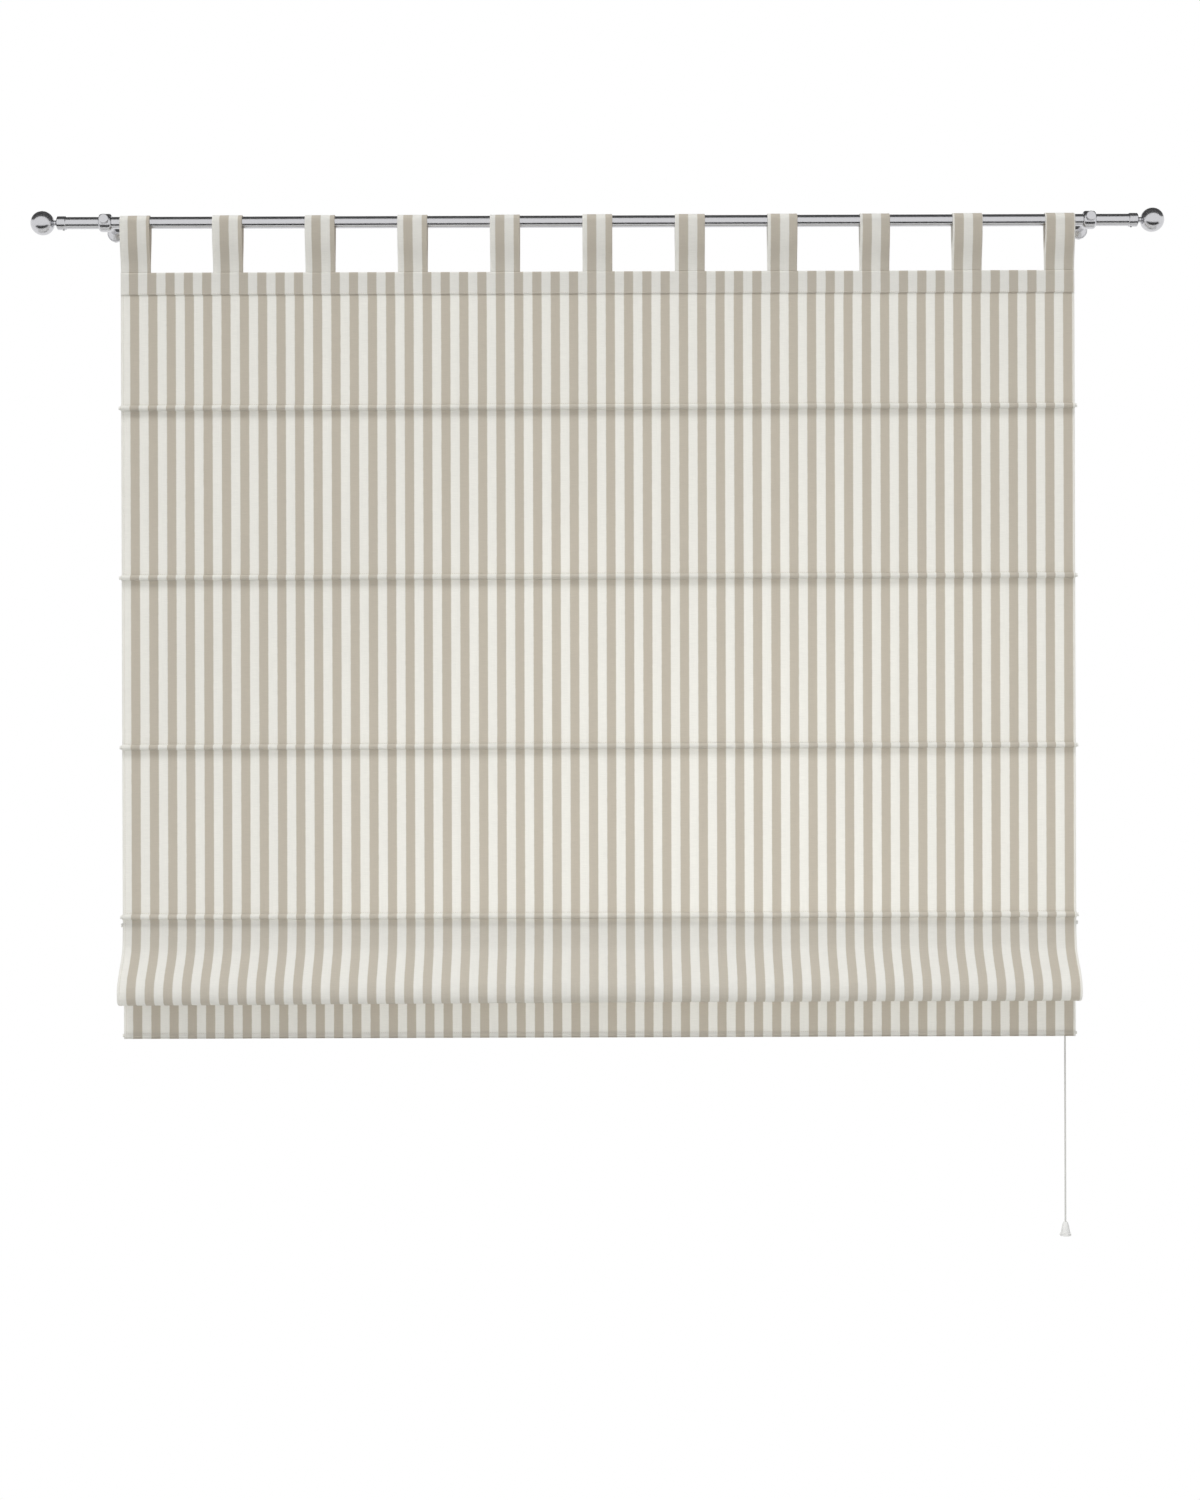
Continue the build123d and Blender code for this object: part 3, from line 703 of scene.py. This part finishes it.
def cord_tube(name, line, radius, strands=1, lay=0.012, step=0.0015, sides=12):
    """A tube along a line; with strands, it is a laid cord whose strands turn once in each lay."""
    line = np.array(line)
    lengths = np.r_[0, np.cumsum(np.linalg.norm(np.diff(line, axis=0), axis=1))]
    places = np.linspace(0, lengths[-1], max(2, round(lengths[-1] / step) + 1))
    centres = np.column_stack([np.interp(places, lengths, line[:, axis]) for axis in range(3)])
    along = np.gradient(centres, axis=0)
    along /= np.linalg.norm(along, axis=1)[:, None]
    aside = np.cross(along, (0, 1, 0))
    weak = np.linalg.norm(aside, axis=1) < 0.1
    aside[weak] = np.cross(along[weak], (1, 0, 0))
    aside /= np.linalg.norm(aside, axis=1)[:, None]
    up = np.cross(aside, along)
    turns = np.arange(sides) * 2 * math.pi / sides
    points, uvs = [], []
    for centre, a, b, place in zip(centres, aside, up, places):
        lobes = np.abs(np.sin(strands / 2 * (turns - 2 * math.pi * place / lay))) if strands > 1 else 1.0
        reach = radius * (0.8 + 0.25 * lobes) if strands > 1 else radius
        points.append(centre + np.outer(np.cos(turns) * reach, a) + np.outer(np.sin(turns) * reach, b))
        uvs.append(np.column_stack([turns, np.full(sides, place)]))
    faces = []
    for ring in range(len(centres) - 1):
        for side in range(sides):
            a, b = ring * sides + side, ring * sides + (side + 1) % sides
            faces.append((a, a + sides, b + sides, b))
    last = (len(centres) - 1) * sides
    faces.append(list(range(sides)))
    faces.append([last + side for side in reversed(range(sides))])
    return mesh_piece(name, np.vstack(points), faces, white_cord, np.vstack(uvs)), centres


upper_route = cord_line("upper", run(cord_top, cord_split, 4))
lower_route = cord_line("lower", run(cord_split, cord_end, 4))
upper_cord, upper_line = cord_tube("pull_cord_upper", upper_route, cord_radius, cord_strands)
lower_cord, lower_line = cord_tube("pull_cord_lower", lower_route, cord_radius, cord_strands)
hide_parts("pull_cord")
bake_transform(upper_cord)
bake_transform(lower_cord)


# Lift cords, from the lowest batten up through the rings and along the heading to the lock
lock_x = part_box("lock_housing")[0].x
tie_z = middle("tie_eyelets").z
lift_places = []
for number, x in enumerate(ring_columns, start=1):
    side = bundle_offset if number % 2 == 0 else -bundle_offset
    level = bundle_offset if number <= 2 else -bundle_offset
    lift_places.append((x, cloth_y + ring_y + side, side, level))


def join_pieces(name, parts):
    """Joins several meshes into one piece."""
    whole = bmesh.new()
    for part in parts:
        whole.from_mesh(part.data)
    mesh = bpy.data.meshes.new(name)
    whole.to_mesh(mesh)
    whole.free()
    mesh.materials.append(parts[0].data.materials[0])
    for part in parts:
        bpy.data.objects.remove(part)
    return link(bpy.data.objects.new(name, mesh))


def top_route(x, y, side, level):
    """A lift cord's way from its first ring to the lock's bar, turned by the guide eyes."""
    z = guide_z + level
    lock_y = pull_cord_place.y + side
    return [
        (x, y, batten_z[0]),
        (x, y, z - below_guide),
        (x, y, z),
        (x + past_guide, y, z),
        (ring_columns[-1] + 0.008, y, z),
        (ring_columns[-1] + 0.020, y, z),
        (lock_x + 0.002, lock_y, z),
        (pull_cord_place.x - before_lock_bar + level, lock_y, z),
        (pull_cord_place.x + level, lock_y, z),
        (pull_cord_place.x + level, lock_y, cord_top[2]),
    ]


tops = [
    cord_tube(f"top_{k}", cord_line("top", top_route(*place)), lift_cord_radius, sides=8)[0]
    for k, place in enumerate(lift_places)
]
lift_top = join_pieces("lift_cords_1", tops)
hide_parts(*[f"lift_cord_{number}" for number in range(1, 5)])
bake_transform(lift_top)
lower_ends = batten_z[:4] + [tie_z - 0.00125]
for number in range(1, 5):
    high, low = lower_ends[number - 1], lower_ends[number]
    runs = [
        cord_tube(f"run_{k}", run((x, y, high), (x, y, low), 12), lift_cord_radius, step=0.004, sides=8)[0]
        for k, (x, y, _, _) in enumerate(lift_places)
    ]
    piece = join_pieces(f"lift_cords_{number + 1}", runs)
    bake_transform(piece)


# Finishes of the CAD's own pieces

finishes = {
    "curtain_rod": satin_chrome,
    "finial": satin_chrome,
    "bracket": satin_chrome,
    "clamp_knob": satin_chrome,
    "wall_plate": bright_steel,
    "foot_screws": bright_steel,
    "finial_screws": bright_steel,
    "lock_guide_bar": bright_steel,
    "lock_screws": bright_steel,
    "roller_pin": bright_steel,
    "cord_guides": bright_steel,
    "jam_roller": brass,
    "tab": cloth,
    "heading_band": cloth,
    "head_lath": lath_wood,
    "batten_caps": white_plastic,
    "batten": glass_fibre,
    "hem_bar": glass_fibre,
    "cord_rings": white_plastic,
    "tie_eyelets": white_plastic,
    "tie_knots": white_cord,
    "lift_cord": white_cord,
    "lock_housing": white_plastic,
    "cord_bell": white_bell,
    "bell_knot": white_cord,
}
for name, node in nodes.items():
    starts = [key for key in finishes if name.startswith(key)]
    if starts:
        node.data.materials.clear()
        node.data.materials.append(finishes[max(starts, key=len)])


# Floor, lights and camera


def stage_surface(name, colour):
    material, tree = new_material(name)
    place = add(tree, "ShaderNodeTexCoord").outputs["Object"]
    noise = add(tree, "ShaderNodeTexNoise", {"Vector": place, "Scale": 4.0}).outputs["Fac"]
    tone = maths(tree, "MULTIPLY_ADD", noise, 0.02, 0.99)
    base = add(tree, "ShaderNodeRGB")
    base.outputs[0].default_value = colour
    shade = add(tree, "ShaderNodeVectorMath", {0: base.outputs[0], 3: tone}, operation="SCALE").outputs[0]
    shader = add(tree, "ShaderNodeBsdfPrincipled", {"Base Color": shade, "Roughness": 0.9}).outputs[0]
    add(tree, "ShaderNodeOutputMaterial", {"Surface": shader})
    return material


def floor():
    points = [(-2.6, -3.0, floor_z), (2.6, -3.0, floor_z), (2.6, 1.3, floor_z), (-2.6, 1.3, floor_z)]
    paint = stage_surface("pale_floor", linear(240, 240, 238))
    plane = mesh_piece("floor", points, [(0, 1, 2, 3)], paint, smooth=False)
    plane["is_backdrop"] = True


def world_light(brightest, dimmest):
    """Soft light, brightest from high in front; the camera, metal and glass see plain white."""
    world = bpy.data.worlds.new("studio")
    bpy.context.scene.world = world
    world.use_nodes = True
    tree = world.node_tree
    tree.nodes.clear()
    path = add(tree, "ShaderNodeLightPath").outputs
    seen = maths(tree, "MAXIMUM", path["Is Camera Ray"], path["Is Glossy Ray"])
    seen = maths(tree, "MAXIMUM", seen, path["Is Transmission Ray"])
    way = add(tree, "ShaderNodeTexCoord").outputs["Generated"]
    toward_light = {0: way, 1: (0, -0.8, 0.6)}
    facing = add(tree, "ShaderNodeVectorMath", toward_light, operation="DOT_PRODUCT").outputs["Value"]
    soft = add(
        tree,
        "ShaderNodeMapRange",
        {"Value": facing, "From Min": -1.0, "To Min": dimmest, "To Max": brightest},
    ).outputs[0]
    strength = add(tree, "ShaderNodeMapRange", {"Value": seen, "To Min": soft, "To Max": 1.0}).outputs[0]
    light = add(tree, "ShaderNodeBackground", {"Color": (1, 1, 1, 1), "Strength": strength}).outputs[0]
    add(tree, "ShaderNodeOutputWorld", {"Surface": light})


def area_light(name, place, aim, size, power, colour=(1, 1, 1)):
    """A round lamp of one size, or an oblong one where the size has two sides."""
    lamp = bpy.data.lights.new(name, "AREA")
    lamp.shape = "RECTANGLE" if isinstance(size, tuple) else "DISK"
    lamp.size = size[0] if isinstance(size, tuple) else size
    lamp.size_y = size[1] if isinstance(size, tuple) else size
    lamp.energy = power
    lamp.color = colour
    holder = link(bpy.data.objects.new(name, lamp))
    holder.location = place
    direction = Vector(aim) - Vector(place)
    holder.rotation_euler = direction.to_track_quat("-Z", "Y").to_euler()
    holder.visible_camera = holder.visible_glossy = False


def reflector_card(name, low, high, grey):
    """A studio card that only shows in the metal's reflections."""
    (x0, y0, z0), (x1, y1, z1) = low, high
    points = [(x0, y0, z0), (x1, y0, z0), (x1, y1, z1), (x0, y1, z1)]
    paint = stage_surface(name + "_paint", linear(grey, grey, grey))
    card = mesh_piece(name, points, [(0, 1, 2, 3)], paint, smooth=False)
    card.visible_camera = card.visible_diffuse = card.visible_shadow = card.visible_transmission = False
    card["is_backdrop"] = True


floor()
world_light(0.42, 0.28)
reflector_card("grey_card_above", (-4, -0.9, 1.2), (4, 2.0, 1.2), 110)
reflector_card("dark_card_below", (-4, -2.6, -1.7), (4, -0.9, -1.7), 12)
area_light("high_key", (-1.8, -5.0, 10.0), (0, 0, -0.8), 4, 900)
area_light("low_fill", (0.3, -3.0, -1.5), (0.2, 0, -1.2), 1.5, 26)
area_light("daylight_behind", (0.25, 0.50, -0.98), (0.25, 0, -0.98), (1.1, 0.8), 4.6, (1.0, 0.99, 0.97))

camera = link(bpy.data.objects.new("camera", bpy.data.cameras.new("camera")))
camera.data.lens = camera_lens
camera.data.sensor_width = 36
camera.location = camera_place
camera.rotation_euler = (math.radians(90), camera_roll, 0)
bpy.context.scene.camera = camera
bpy.context.scene.view_settings.view_transform = "Standard"

low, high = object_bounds()
